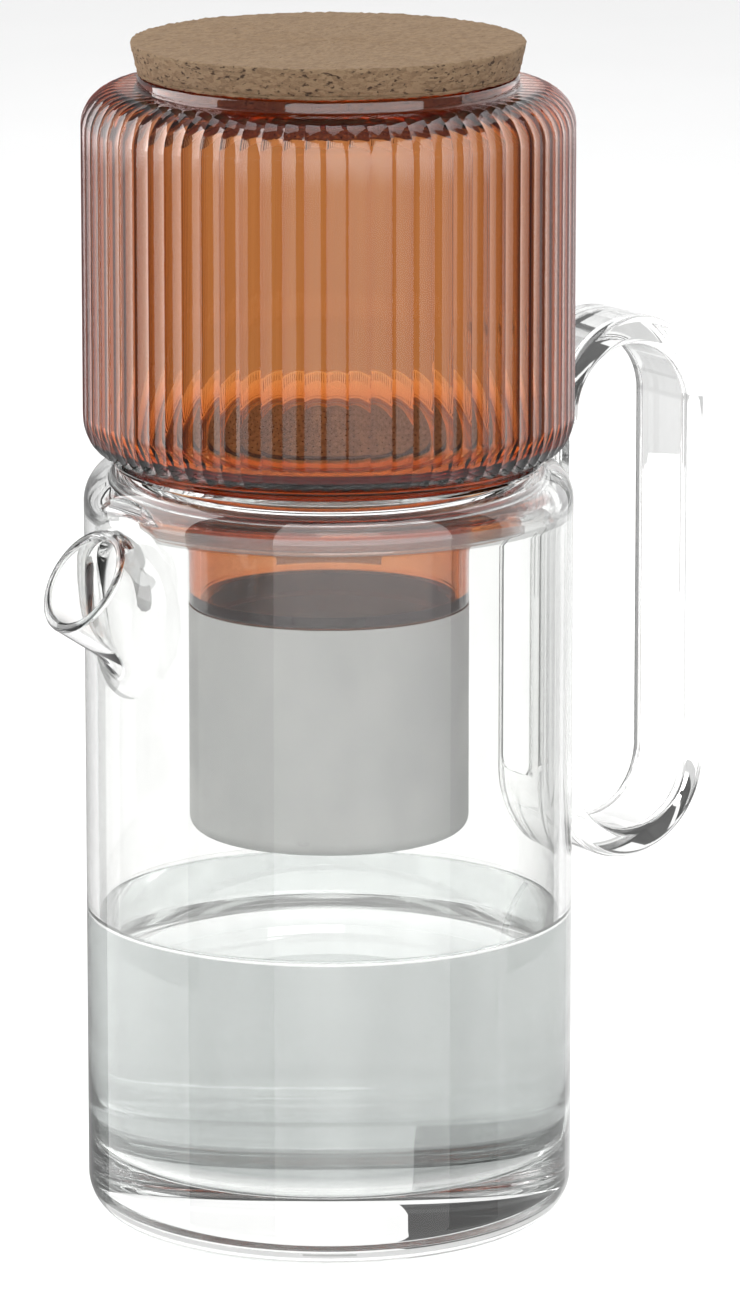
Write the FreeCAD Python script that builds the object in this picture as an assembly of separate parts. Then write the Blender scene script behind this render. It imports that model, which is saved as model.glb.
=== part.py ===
import FreeCAD, Part
import math
import os

# Cold brew coffee maker: a glass carafe with a spout and a loop handle, a ribbed brewing
# chamber that stands in the carafe's mouth, a steel filter cup under it and a cork lid.
# Millimetres. The origin is the centre of the carafe's base, +Z is up,
# the handle is on +X and the spout on -X.

# ---- carafe ----
carafe_radius = 50.0
carafe_wall = 2.5
carafe_height = 158.3
carafe_base_round = 8.0
carafe_shoulder_round = 8.8
carafe_floor_thickness = 14.0
carafe_floor_round = 8.0

# ---- stepped mouth of the carafe, where the chamber stands ----
mouth_step_inset = 6.8
mouth_step_depth = 2.5
mouth_lip_thickness = 2.6
mouth_lip_round = 0.6

# ---- spout tube, slanting up and out of the wall ----
spout_radius = 11.4
spout_wall = 2.1
spout_slope = 33.0
spout_reach_past_wall = 10.0
spout_rim_drop = 18.3
spout_root_round = 4.0

# ---- loop handle: a flat band bent into a closed loop ----
handle_gap_to_wall = 0.8
handle_loop_depth = 39.4
handle_loop_height = 115.7
handle_rise = 23.2
handle_band_thickness = 6.2
handle_band_width = 18.0
handle_edge_round = 1.6
handle_weld_width = 11.0
handle_weld_drop = 14.3
handle_weld_round = 3.0

# ---- ribbed brewing chamber ----
chamber_overhang = 0.1
chamber_wall = 2.6
chamber_height = 74.5
chamber_bottom_round = 8.0
chamber_shoulder_round = 8.0
rib_count = 72
rib_height = 0.45
rib_crest_trim = 0.05
chamber_mouth_inset = 11.4
chamber_mouth_wall = 2.4
chamber_mouth_height = 2.6
chamber_mouth_round = 0.8

# ---- neck under the chamber: collar, skirt and drip tube ----
collar_taper = 1.4
collar_height = 4.3
collar_plate_thickness = 2.6
skirt_inset = 3.9
skirt_wall = 2.4
skirt_length = 8.2
tube_radius = 28.7
tube_wall = 2.3
tube_length = 27.2
spigot_wall = 2.1
spigot_length = 8.0
spigot_step = 1.7
filter_seal_drop = 4.0

# ---- silicone seals ----
mouth_seal_thickness = 1.4
mouth_seal_proud = 0.3
mouth_seal_recess = 0.2
mouth_seal_round = 0.5
mouth_seal_grip = 3.0
filter_seal_section = 1.0
filter_seal_round = 0.3
lid_seal_section = 1.8
lid_seal_round = 0.72

# ---- drip plate on the chamber floor ----
plate_overlap = 1.3
plate_thickness = 1.0
plate_edge_round = 0.4
plate_skirt_length = 4.0
plate_skirt_wall = 0.8
drip_hole_radius = 0.7
drip_ring_spacing = 5.6
drip_ring_count = 4
drip_holes_per_ring = 6

# ---- filter cup ----
filter_length = 47.2
filter_wall = 0.6
filter_rim_height = 8.6
filter_base_thickness = 0.8
filter_base_round = 2.8
filter_base_rise = 3.4

# ---- cork lid ----
lid_height = 6.8
lid_overhang = 1.5
lid_seat_inset = 0.1
lid_edge_round = 0.6
lid_lower_edge_round = 0.3
lid_plug_depth = 8.0
lid_plug_round = 1.0
lid_seal_drop = 3.4

# ---- clearances ----
collar_clearance = 0.4
seal_clearance = 0.35
plug_clearance = 0.8
filter_clearance = 0.25
filter_gap = 0.2
plate_clearance = 0.4

# ---- shares of a full half circle or half wall, just short of where the flat runs out ----
handle_end_fullness = 0.999
spout_rim_fullness = 0.9

touching = 1e-3

# ---- heights and radii that follow from the sizes above ----
carafe_bore = carafe_radius - carafe_wall
seat_height = carafe_height - mouth_step_depth
mouth_step_radius = carafe_radius - mouth_step_inset
collar_radius = mouth_step_radius - collar_clearance
collar_top_radius = collar_radius - collar_taper
skirt_radius = collar_radius - skirt_inset
skirt_bore = skirt_radius - skirt_wall
mouth_seal_radius = skirt_radius + mouth_seal_proud
mouth_radius = mouth_seal_radius + seal_clearance

spout_rim_reach = carafe_radius + spout_reach_past_wall
spout_rim_height = carafe_height - spout_rim_drop
spout_bore = spout_radius - spout_wall

handle_inner_face = carafe_radius + handle_gap_to_wall
handle_reach = handle_inner_face + handle_loop_depth
handle_top = carafe_height + handle_rise
handle_bottom = handle_top - handle_loop_height
handle_weld_top = carafe_height - handle_weld_drop

chamber_radius = carafe_radius + chamber_overhang
chamber_mouth_radius = chamber_radius - chamber_mouth_inset
chamber_bottom = seat_height + collar_height
chamber_top = chamber_bottom + chamber_height
chamber_bore = chamber_radius - chamber_wall
chamber_floor = chamber_bottom + chamber_wall
chamber_rim = chamber_top + chamber_mouth_height
chamber_mouth_bore = chamber_mouth_radius - chamber_mouth_wall

tube_bore = tube_radius - tube_wall
tube_bottom = seat_height - tube_length
spigot_radius = tube_radius - spigot_step
spigot_bore = spigot_radius - spigot_wall
spigot_bottom = tube_bottom - spigot_length
skirt_bottom = seat_height - skirt_length
seal_grip_radius = skirt_radius - mouth_seal_recess
seal_grip_top = skirt_bottom + mouth_seal_grip

filter_top = tube_bottom - filter_gap
filter_bottom = filter_top - filter_length
filter_bore = tube_radius - filter_wall
filter_rim_bore = spigot_radius + filter_clearance
filter_seal_radius = spigot_radius + filter_clearance / 2
filter_seal_groove = filter_seal_radius - filter_seal_section
filter_seal_top = tube_bottom - filter_seal_drop + filter_seal_section / 2
filter_seal_bottom = filter_seal_top - filter_seal_section

lid_top = chamber_rim + lid_height
lid_top_radius = chamber_mouth_radius + lid_overhang
lid_seat_radius = chamber_mouth_radius - lid_seat_inset
lid_plug_radius = chamber_mouth_bore - plug_clearance
lid_seal_radius = chamber_mouth_bore - seal_clearance
lid_seal_groove = lid_seal_radius - lid_seal_section
lid_seal_top = chamber_rim - lid_seal_drop + lid_seal_section / 2
lid_seal_bottom = lid_seal_top - lid_seal_section


def corner_cut(before, corner, after, radius):
    """Tangent points and middle of the arc that rounds one corner of an outline."""
    first = (before - corner).normalize()
    second = (after - corner).normalize()
    half_angle = first.getAngle(second) / 2
    reach = radius / math.tan(half_angle)
    bisector = (first + second).normalize()
    middle = corner + bisector * (radius / math.sin(half_angle) - radius)
    return corner + first * reach, middle, corner + second * reach


def outline(corners):
    """A closed wire in the XZ plane from (x, z, rounding) corners."""
    points = [FreeCAD.Vector(x, 0, z) for x, z, _ in corners]
    count = len(corners)
    arcs = []
    for index, (_, _, radius) in enumerate(corners):
        if radius > 0:
            before = FreeCAD.Vector(points[index - 1])
            after = FreeCAD.Vector(points[(index + 1) % count])
            arcs.append(corner_cut(before, FreeCAD.Vector(points[index]), after, radius))
        else:
            arcs.append((points[index], None, points[index]))
    edges = []
    for index, (start, middle, end) in enumerate(arcs):
        if middle is not None:
            edges.append(Part.Arc(start, middle, end).toShape())
        following = arcs[(index + 1) % count][0]
        if (following - end).Length > 1e-6:
            edges.append(Part.LineSegment(end, following).toShape())
    return Part.Wire(edges)


def turned(corners):
    """A solid of revolution about Z from (radius, height, rounding) corners."""
    return Part.Face(outline(corners)).revolve(FreeCAD.Vector(0, 0, 0), FreeCAD.Vector(0, 0, 1), 360)


def upright_cylinder(radius, bottom, top):
    return Part.makeCylinder(radius, top - bottom, FreeCAD.Vector(0, 0, bottom))


def spout_axis():
    """Point at the middle of the spout's rim, and the direction out of the carafe."""
    slope = math.radians(spout_slope)
    rim = FreeCAD.Vector(-spout_rim_reach, 0, spout_rim_height)
    return rim, FreeCAD.Vector(-math.cos(slope), 0, math.sin(slope))


def spout_cylinder(radius, past_rim):
    """A cylinder along the spout's axis, from inside the carafe to past the rim."""
    rim, direction = spout_axis()
    length = (spout_rim_reach - carafe_bore / 2) / math.cos(math.radians(spout_slope))
    return Part.makeCylinder(radius, length + past_rim, rim - direction * length, direction)


def carafe_body():
    """Glass cylinder with a heavy base, a round shoulder and a stepped mouth."""
    lip_bottom = seat_height - mouth_lip_thickness
    shoulder_inside = carafe_shoulder_round - carafe_wall
    body = turned([
        (0, 0, 0),
        (carafe_radius, 0, carafe_base_round),
        (carafe_radius, carafe_height, carafe_shoulder_round),
        (mouth_radius, carafe_height, 0),
        (mouth_radius, lip_bottom, 0),
        (carafe_bore, lip_bottom, shoulder_inside),
        (carafe_bore, carafe_floor_thickness, carafe_floor_round),
        (0, carafe_floor_thickness, 0),
    ])
    body = body.cut(upright_cylinder(mouth_step_radius, seat_height, carafe_height))
    lip_edges = [edge for edge in body.Edges
                 if edge.BoundBox.ZLength < touching
                 and edge.CenterOfMass.z > lip_bottom - touching
                 and (abs(edge.Curve.Radius - mouth_radius) < touching
                      or edge.CenterOfMass.z > seat_height + touching)]
    body = body.makeFillet(mouth_lip_round, lip_edges)
    return body.cut(spout_cylinder(spout_bore, 0))


def carafe_spout():
    """Slanting tube with a flared root, welded to the outside of the wall."""
    rim, direction = spout_axis()
    wall = upright_cylinder(carafe_radius, 0, carafe_height)
    joined = wall.fuse(spout_cylinder(spout_radius, 0)).removeSplitter()
    root = [edge for edge in joined.Edges
            if abs(edge.CenterOfMass.x) < carafe_radius + spout_wall
            and edge.BoundBox.YLength > spout_radius
            and edge.BoundBox.ZLength > spout_radius]
    flared = joined.makeFillet(spout_root_round, root)
    tube = flared.cut(wall).cut(spout_cylinder(spout_bore, spout_wall))
    rim_edges = [edge for edge in tube.Edges
                 if abs((edge.CenterOfMass - rim).dot(direction)) < touching
                 and edge.Length > math.pi * spout_radius]
    return tube.makeFillet(spout_wall / 2 * spout_rim_fullness, rim_edges)


def handle_loop(inset):
    """Solid racetrack of the handle, inset from its outer face."""
    left = handle_inner_face + inset
    right = handle_reach - inset
    bottom = handle_bottom + inset
    top = handle_top - inset
    end_round = (right - left) / 2 * handle_end_fullness
    face = Part.Face(outline([
        (left, bottom, end_round),
        (right, bottom, end_round),
        (right, top, end_round),
        (left, top, end_round),
    ]))
    face.translate(FreeCAD.Vector(0, -handle_band_width / 2, 0))
    return face.extrude(FreeCAD.Vector(0, handle_band_width, 0))


def carafe_handle():
    """Closed loop of flat glass band, with a weld strip down the carafe's wall."""
    loop = handle_loop(0).cut(handle_loop(handle_band_thickness))
    band_edges = [edge for edge in loop.Edges
                  if abs(abs(edge.CenterOfMass.y) - handle_band_width / 2) < touching]
    loop = loop.makeFillet(handle_edge_round, band_edges)
    weld_bottom = handle_bottom + handle_loop_depth / 2
    depth = carafe_wall + handle_gap_to_wall + handle_edge_round
    weld = Part.makeBox(depth, handle_weld_width, handle_weld_top - weld_bottom,
                        FreeCAD.Vector(carafe_bore, -handle_weld_width / 2, weld_bottom))
    end_edges = [edge for edge in weld.Edges
                 if edge.BoundBox.XLength > depth / 2]
    weld = weld.makeFillet(handle_weld_round, end_edges)
    weld = weld.cut(upright_cylinder(carafe_radius, 0, carafe_height))
    return loop.fuse(weld).removeSplitter()


def ribbed_outline():
    """Closed wire of hollow flutes, one arc from crest to crest of the narrow ribs."""
    crest_radius = chamber_radius + rib_crest_trim
    flute_radius = chamber_radius - rib_height
    step = 2 * math.pi / rib_count

    def at(radius, angle):
        return FreeCAD.Vector(radius * math.cos(angle), radius * math.sin(angle), chamber_bottom)

    flutes = [Part.Arc(at(crest_radius, index * step),
                       at(flute_radius, (index + 0.5) * step),
                       at(crest_radius, (index + 1) * step)).toShape()
              for index in range(rib_count)]
    return Part.Wire(flutes)


def ribbed_chamber():
    """Thin glass vessel with a fluted wall, an open floor and a low round mouth."""
    inner_bottom_round = chamber_bottom_round - chamber_wall
    inner_shoulder_round = chamber_shoulder_round - chamber_wall
    shell = turned([
        (tube_bore, chamber_bottom, 0),
        (chamber_radius, chamber_bottom, chamber_bottom_round),
        (chamber_radius, chamber_top, chamber_shoulder_round),
        (chamber_mouth_radius, chamber_top, 0),
        (chamber_mouth_radius, chamber_rim, chamber_mouth_round),
        (chamber_mouth_bore, chamber_rim, chamber_mouth_round),
        (chamber_mouth_bore, chamber_top - chamber_wall, 0),
        (chamber_bore, chamber_top - chamber_wall, inner_shoulder_round),
        (chamber_bore, chamber_floor, inner_bottom_round),
        (tube_bore, chamber_floor, 0),
    ])
    fluted = Part.Face(ribbed_outline()).extrude(
        FreeCAD.Vector(0, 0, chamber_rim - chamber_bottom))
    return shell.common(fluted)


def chamber_neck():
    """Collar that stands on the carafe, skirt that centres it, and tube with a spigot."""
    under_plate = chamber_bottom - collar_plate_thickness
    return turned([
        (tube_bore, chamber_bottom, 0),
        (collar_top_radius, chamber_bottom, 0),
        (collar_radius, seat_height, 0),
        (skirt_radius, seat_height, 0),
        (skirt_radius, seal_grip_top, 0),
        (seal_grip_radius, seal_grip_top, 0),
        (seal_grip_radius, skirt_bottom, 0),
        (skirt_bore, skirt_bottom, 0),
        (skirt_bore, under_plate, 0),
        (tube_radius, under_plate, 0),
        (tube_radius, tube_bottom, 0),
        (spigot_radius, tube_bottom, 0),
        (spigot_radius, filter_seal_top, 0),
        (filter_seal_groove, filter_seal_top, 0),
        (filter_seal_groove, filter_seal_bottom, 0),
        (spigot_radius, filter_seal_bottom, 0),
        (spigot_radius, spigot_bottom, 0),
        (spigot_bore, spigot_bottom, 0),
        (spigot_bore, tube_bottom, 0),
        (tube_bore, tube_bottom + tube_wall, 0),
    ])


def mouth_seal():
    """Clear ring that wraps the lower edge of the neck's skirt."""
    bottom = skirt_bottom - mouth_seal_thickness
    return turned([
        (skirt_bore, bottom, mouth_seal_round),
        (mouth_seal_radius, bottom, mouth_seal_round),
        (mouth_seal_radius, seal_grip_top, 0),
        (seal_grip_radius, seal_grip_top, 0),
        (seal_grip_radius, skirt_bottom, 0),
        (skirt_bore, skirt_bottom, 0),
    ])


def filter_seal():
    """Ring in the spigot's groove that grips the filter's rim."""
    return turned([
        (filter_seal_groove, filter_seal_bottom, 0),
        (filter_seal_radius, filter_seal_bottom, filter_seal_round),
        (filter_seal_radius, filter_seal_top, filter_seal_round),
        (filter_seal_groove, filter_seal_top, 0),
    ])


def drip_plate():
    """Perforated disc that lies over the hole in the chamber's floor."""
    skirt_outer = tube_bore - plate_clearance
    skirt_inner = skirt_outer - plate_skirt_wall
    plate_radius = tube_bore + plate_overlap
    plate = turned([
        (0, chamber_floor, 0),
        (skirt_inner, chamber_floor, 0),
        (skirt_inner, chamber_floor - plate_skirt_length, 0),
        (skirt_outer, chamber_floor - plate_skirt_length, 0),
        (skirt_outer, chamber_floor, 0),
        (plate_radius, chamber_floor, 0),
        (plate_radius, chamber_floor + plate_thickness, plate_edge_round),
        (0, chamber_floor + plate_thickness, 0),
    ])
    holes = [(0, 0)]
    for ring in range(1, drip_ring_count + 1):
        ring_radius = ring * drip_ring_spacing
        per_ring = ring * drip_holes_per_ring
        for index in range(per_ring):
            angle = 2 * math.pi * index / per_ring
            holes.append((ring_radius * math.cos(angle), ring_radius * math.sin(angle)))
    drills = [Part.makeCylinder(drip_hole_radius, plate_thickness * 3,
                                FreeCAD.Vector(x, y, chamber_floor - plate_thickness))
              for x, y in holes]
    return plate.cut(Part.makeCompound(drills))


def filter_rim():
    """Plain steel ring inside the top of the filter sleeve."""
    return turned([
        (filter_rim_bore, filter_top - filter_rim_height, 0),
        (filter_bore, filter_top - filter_rim_height, 0),
        (filter_bore, filter_top, 0),
        (filter_rim_bore, filter_top, 0),
    ])


def filter_sleeve():
    """Fine steel mesh rolled into a straight sleeve."""
    sleeve_bottom = filter_bottom + filter_base_rise
    return turned([
        (filter_bore, sleeve_bottom, 0),
        (tube_radius, sleeve_bottom, 0),
        (tube_radius, filter_top, 0),
        (filter_bore, filter_top, 0),
    ])


def filter_base():
    """Shallow dish that closes the bottom of the sleeve."""
    inner_round = filter_base_round - filter_base_thickness
    return turned([
        (0, filter_bottom, 0),
        (tube_radius, filter_bottom, filter_base_round),
        (tube_radius, filter_bottom + filter_base_rise, 0),
        (filter_bore, filter_bottom + filter_base_rise, 0),
        (filter_bore, filter_bottom + filter_base_thickness, inner_round),
        (0, filter_bottom + filter_base_thickness, 0),
    ])


def cork_lid():
    """Tapered cork disc with a narrower plug that drops into the chamber's mouth."""
    plug_bottom = chamber_rim - lid_plug_depth
    return turned([
        (0, plug_bottom, 0),
        (lid_plug_radius, plug_bottom, lid_plug_round),
        (lid_plug_radius, lid_seal_bottom, 0),
        (lid_seal_groove, lid_seal_bottom, 0),
        (lid_seal_groove, lid_seal_top, 0),
        (lid_plug_radius, lid_seal_top, 0),
        (lid_plug_radius, chamber_rim, 0),
        (lid_seat_radius, chamber_rim, lid_lower_edge_round),
        (lid_top_radius, lid_top, lid_edge_round),
        (0, lid_top, 0),
    ])


def lid_seal():
    """Soft ring in the groove of the lid's plug."""
    return turned([
        (lid_seal_groove, lid_seal_bottom, 0),
        (lid_seal_radius, lid_seal_bottom, lid_seal_round),
        (lid_seal_radius, lid_seal_top, lid_seal_round),
        (lid_seal_groove, lid_seal_top, 0),
    ])


pieces = {
    "carafe_body": carafe_body,
    "carafe_spout": carafe_spout,
    "carafe_handle": carafe_handle,
    "ribbed_chamber": ribbed_chamber,
    "chamber_neck": chamber_neck,
    "mouth_seal": mouth_seal,
    "filter_seal": filter_seal,
    "drip_plate": drip_plate,
    "filter_rim": filter_rim,
    "filter_sleeve": filter_sleeve,
    "filter_base": filter_base,
    "cork_lid": cork_lid,
    "lid_seal": lid_seal,
}

os.makedirs("parts", exist_ok=True)
for name, make in pieces.items():
    shape = make()
    print(f"{name}: solids {len(shape.Solids)}, valid {shape.isValid()}, volume {shape.Volume:.1f}")
    shape.exportStep(f"parts/{name}.step")
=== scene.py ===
import math

import bmesh
import bpy
from bpy.props import FloatProperty, FloatVectorProperty, IntProperty, PointerProperty
from mathutils import Matrix, Vector


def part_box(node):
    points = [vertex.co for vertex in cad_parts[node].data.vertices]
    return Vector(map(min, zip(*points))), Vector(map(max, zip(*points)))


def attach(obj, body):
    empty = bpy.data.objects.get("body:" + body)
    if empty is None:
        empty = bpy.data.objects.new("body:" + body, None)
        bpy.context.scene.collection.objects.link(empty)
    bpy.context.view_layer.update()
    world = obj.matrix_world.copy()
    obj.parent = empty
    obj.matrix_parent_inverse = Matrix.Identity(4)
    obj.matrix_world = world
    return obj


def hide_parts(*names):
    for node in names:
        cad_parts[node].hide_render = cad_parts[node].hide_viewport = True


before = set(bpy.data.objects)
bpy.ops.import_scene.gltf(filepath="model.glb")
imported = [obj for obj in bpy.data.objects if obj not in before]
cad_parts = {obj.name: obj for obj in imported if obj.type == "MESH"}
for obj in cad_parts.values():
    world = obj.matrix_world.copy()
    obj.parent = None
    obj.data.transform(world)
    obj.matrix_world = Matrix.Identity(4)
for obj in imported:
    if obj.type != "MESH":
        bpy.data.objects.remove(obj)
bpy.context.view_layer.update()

# Cold brew coffee maker. Metres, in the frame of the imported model: the origin is the centre
# of the carafe's base, +Z is up, the handle is on +X and the spout on -X.

bl_info = {
    "name": "Cold Brew Coffee Maker",
    "version": (1, 0, 0),
    "blender": (4, 5, 0),
    "location": "View3D > Sidebar > Coffee Maker",
    "description": "Glass carafe, ribbed amber chamber, steel filter cup and cork lid",
    "category": "Object",
}

MM = 0.001
HAIR = 0.02 * MM
CARAFE_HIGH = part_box("carafe_body")[1]
CHAMBER_LOW, CHAMBER_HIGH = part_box("ribbed_chamber")
NECK_LOW, NECK_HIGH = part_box("chamber_neck")
CORK_LOW, CORK_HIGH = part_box("cork_lid")
SLEEVE_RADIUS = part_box("filter_sleeve")[1].y
MERGE_GAP = MM / 1000


# ---------------------------------------------------------------------------
# Sizes, finishes and stage settings that a user would change
# ---------------------------------------------------------------------------

def length(name, description, default):
    return FloatProperty(name=name, description=description, default=default,
                         unit="LENGTH", subtype="DISTANCE", precision=5)


def angle_in_degrees(name, description, degrees):
    return FloatProperty(name=name, description=description, default=math.radians(degrees),
                         subtype="ANGLE")


def number(name, description, default):
    return FloatProperty(name=name, description=description, default=default)


def whole_number(name, description, default):
    return IntProperty(name=name, description=description, default=default)


def colour(name, description, default):
    return FloatVectorProperty(name=name, description=description, default=default,
                               size=3, min=0.0, max=1.0, subtype="COLOR")


class CarafeSizes(bpy.types.PropertyGroup):
    radius: length("Radius", "Outer radius of the glass cylinder", CARAFE_HIGH.y)
    wall: length("Wall", "Thickness of the blown wall", 2.5 * MM)
    crown: length("Crown", "Height that the shoulder's arc would reach", 158.3 * MM)
    base_round: length("Base round", "Radius round the foot", 8.0 * MM)
    shoulder_round: length("Shoulder round", "Outer radius of the shoulder", 8.8 * MM)
    floor_thickness: length("Floor", "Thickness of the solid glass base", 14.0 * MM)
    floor_round: length("Floor round", "Radius where the wall meets the floor", 8.0 * MM)
    step_radius: length("Step radius", "Radius of the step that holds the chamber", 43.2 * MM)
    step_height: length("Step height", "Height of the step's seat", NECK_HIGH.z - 4.3 * MM)
    mouth_radius: length("Mouth radius", "Radius of the mouth's bore", 39.55 * MM)
    lip_thickness: length("Lip", "Thickness of the lip under the step", 2.6 * MM)
    lip_round: length("Lip round", "Fire polish on the lip's edges", 1.2 * MM)
    spout_radius: length("Spout radius", "Outer radius of the spout tube", 11.4 * MM)
    spout_bore: length("Spout bore", "Inner radius of the spout tube", 9.3 * MM)
    spout_root: length("Spout root", "How far the root blends along tube and wall", 8.0 * MM)
    spout_lip: length("Spout lip", "Fire polish on the spout's rim", 0.95 * MM)
    spout_reach: length("Spout reach", "Distance of the spout's rim from the axis", 60.0 * MM)
    spout_height: length("Spout height", "Height of the middle of the spout's rim", 140.0 * MM)
    spout_slope: angle_in_degrees("Spout slope", "Slope of the spout tube", 33.0)
    spout_rings: whole_number("Spout rings", "Rings of facets along the spout's root", 12)
    spout_steps: whole_number("Spout steps", "Facets round the spout", 128)
    weld_depth: length("Weld depth", "How far welded glass runs into the wall", 1.2 * MM)
    ring_spacing: length("Ring spacing", "Distance between the wall's rings of facets", 5 * MM)
    steps: whole_number("Steps", "Facets round the glass", 240)


class ChamberSizes(bpy.types.PropertyGroup):
    radius: length("Radius", "Outer radius over the ribs", 50.1 * MM)
    wall: length("Wall", "Thickness of the ribbed wall", 2.6 * MM)
    top: length("Top", "Height of the flat top", CHAMBER_HIGH.z - 2.6 * MM)
    corner_round: length("Corner round", "Outer radius at shoulder and bottom", 8.0 * MM)
    mouth_radius: length("Mouth radius", "Outer radius of the low mouth", 38.7 * MM)
    mouth_wall: length("Mouth wall", "Thickness of the mouth's wall", 2.4 * MM)
    rib_count: whole_number("Ribs", "Number of ribs", 72)
    rib_height: length("Rib height", "Depth of the hollow flutes between ribs", 0.45 * MM)
    rib_fade_top: length("Rib fade at the top", "Radius inside which the ribs fade", 46.0 * MM)
    rib_fade_bottom: length("Rib fade below", "Radius inside which the ribs fade", 47.0 * MM)
    steps_per_rib: whole_number("Steps per rib", "Facets per rib", 8)
    collar_radius: length("Collar radius", "Radius at the foot of the collar", 42.8 * MM)
    collar_top_radius: length("Collar top radius", "Radius under the chamber", 41.4 * MM)
    skirt_radius: length("Skirt radius", "Outer radius of the skirt", 38.9 * MM)
    skirt_wall: length("Skirt wall", "Thickness of the skirt", 2.4 * MM)
    skirt_length: length("Skirt length", "Length of the skirt under the collar", 8.2 * MM)
    plate: length("Plate", "Thickness of the floor inside the collar", 1.6 * MM)
    collar_wall: length("Collar wall", "Thickness of the hollow collar", 2.2 * MM)
    tube_radius: length("Tube radius", "Outer radius of the drip tube", SLEEVE_RADIUS)
    tube_wall: length("Tube wall", "Thickness of the drip tube", 2.3 * MM)
    spigot_radius: length("Spigot radius", "Radius of the stub inside the filter", 27.0 * MM)
    spigot_wall: length("Spigot wall", "Thickness of the stub", 2.1 * MM)
    spigot_length: length("Spigot length", "Length of the stub", 8.0 * MM)
    edge_round: length("Edge round", "Fire polish on the edges", 0.5 * MM)
    mouth_round: length("Mouth round", "Fire polish on the mouth's rim", 0.8 * MM)
    collar_cove: length("Collar cove", "Hollow round between collar and chamber", 2.8 * MM)
    seat_gap: length("Seat gap", "Air between the collar and the carafe's step", 0.03 * MM)


class LidSizes(bpy.types.PropertyGroup):
    top_radius: length("Top radius", "Radius of the cork's top", 40.2 * MM)
    seat_radius: length("Seat radius", "Radius of the cork on the mouth", 38.6 * MM)
    seat_height: length("Seat height", "Height of the chamber's rim", CHAMBER_HIGH.z)
    plug_radius: length("Plug radius", "Radius of the plug in the mouth", 35.5 * MM)
    plug_edge: length("Plug edge", "Round on the plug's lower edge", 1.0 * MM)
    top_edge: length("Top edge", "Round on the top edge", 0.6 * MM)
    groove_height: length("Groove height", "Height of the fine line over the seat", 0.9 * MM)
    groove_depth: length("Groove depth", "Depth of the fine line", 0.22 * MM)
    seal_drop: length("Seal drop", "Depth of the seal's groove under the rim", 3.4 * MM)
    seal_section: length("Seal section", "Height of the seal's groove", 1.8 * MM)
    seal_groove_radius: length("Seal groove", "Radius in the seal's groove", 34.15 * MM)
    grain: length("Grain", "Size of the cork granules", 1.5 * MM)
    pit_depth: length("Pit depth", "Depth of the pits between granules", 0.16 * MM)
    steps: whole_number("Steps", "Facets round the cork", 300)
    ring_spacing: length("Ring spacing", "Distance between rings of facets", 0.8 * MM)


class WaterSizes(bpy.types.PropertyGroup):
    level: length("Level", "Height of the water's surface", 64.0 * MM)
    climb: length("Climb", "Height that the water's edge climbs the glass", 0.8 * MM)
    wetting: length("Wetting", "How far the water's skin runs into the glass", 0.3 * MM)


class Finishes(bpy.types.PropertyGroup):
    clear_tint: colour("Clear glass", "Tint of the clear glass", (0.935, 0.94, 0.932))
    deep_tint: colour("Deep clear glass", "Tint in the glass's streaks", (0.90, 0.905, 0.897))
    # Painted shade: the clear glass's colour is darkened where it is seen edge-on.
    painted_edge_shade: colour("Clear glass edges", "Tint where the glass is seen edge-on",
                      (0.35, 0.355, 0.35))
    amber_tint: colour("Amber glass", "Surface tint of the amber glass", (0.975, 0.955, 0.94))
    amber_streak: colour("Amber streaks", "Streaks in the amber glass", (0.94, 0.91, 0.89))
    amber_depth: colour("Amber depth", "What the amber glass lets through", (0.85, 0.49, 0.0))
    amber_density: number("Amber density", "Absorption of the amber glass per metre", 620.0)
    glass_index: number("Glass index", "Refractive index of both glasses", 1.47)
    cork_light: colour("Cork", "Light granules", (0.205, 0.135, 0.075))
    cork_dark: colour("Dark cork", "Dark granules", (0.126, 0.077, 0.040))
    cork_fleck: colour("Cork flecks", "Bark flecks and pits", (0.038, 0.021, 0.011))
    mesh_steel: colour("Mesh steel", "Fine mesh of the filter", (0.39, 0.39, 0.38))
    # Painted shade: the cup's inside is darkened as if shut off from the light.
    painted_filter_shade: colour("Filter inside", "Shaded inside of the filter", (0.07, 0.07, 0.07))
    weave_pitch: length("Weave pitch", "Spacing of the filter's wires", 0.13 * MM)
    # Painted shade: the drip plate's steel is near black and purplish, standing in for the dark
    # shade at the chamber's bottom.
    plate_steel: colour("Plate steel", "Satin steel of the drip plate", (0.06, 0.042, 0.058))
    silicone: colour("Silicone", "Translucent silicone", (0.80, 0.82, 0.82))
    silicone_index: number("Silicone index", "Refractive index of the silicone", 1.41)
    # Painted shade: the water's grey and its lighter bands stand in for the shadowed floor seen
    # through the water.
    water: colour("Water", "Tint of the water", (0.268, 0.292, 0.288))
    water_shade_band: colour("Water bands", "Tint of the water's lighter bands", (0.345, 0.373, 0.369))
    water_index: number("Water index", "Near the glass's, which hides the floor's corner",
                        1.43)


class StageSettings(bpy.types.PropertyGroup):
    view_turn: angle_in_degrees("View turn", "Camera's turn about the axis", -34.5)
    view_distance: length("View distance", "Level distance of the camera", 1.5828)
    view_height: length("View height", "Height of the camera", 0.475)
    aim_height: length("Aim height", "Height that the camera looks at", 0.1168)
    aim_right: length("Aim right", "How far right of the axis the camera looks", 0.0084)
    lens: number("Lens", "Focal length in mm", 217.6)
    lamp_base: length("Lamp base", "Height from which the lamps' heights are measured", 0.1)
    lamp_aim: length("Lamp aim", "Height that the lamps shine at", 0.12)
    room_level: number("Room level", "Soft light from all round", 0.78)
    card_distance: length("Card distance", "From the axis to the mirrored cards", 0.75)
    card_bottom: length("Card bottom", "Height of the mirrored cards' lower edge", -0.35)
    card_top: length("Card top", "Height of the mirrored cards' upper edge", 1.1)


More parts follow.
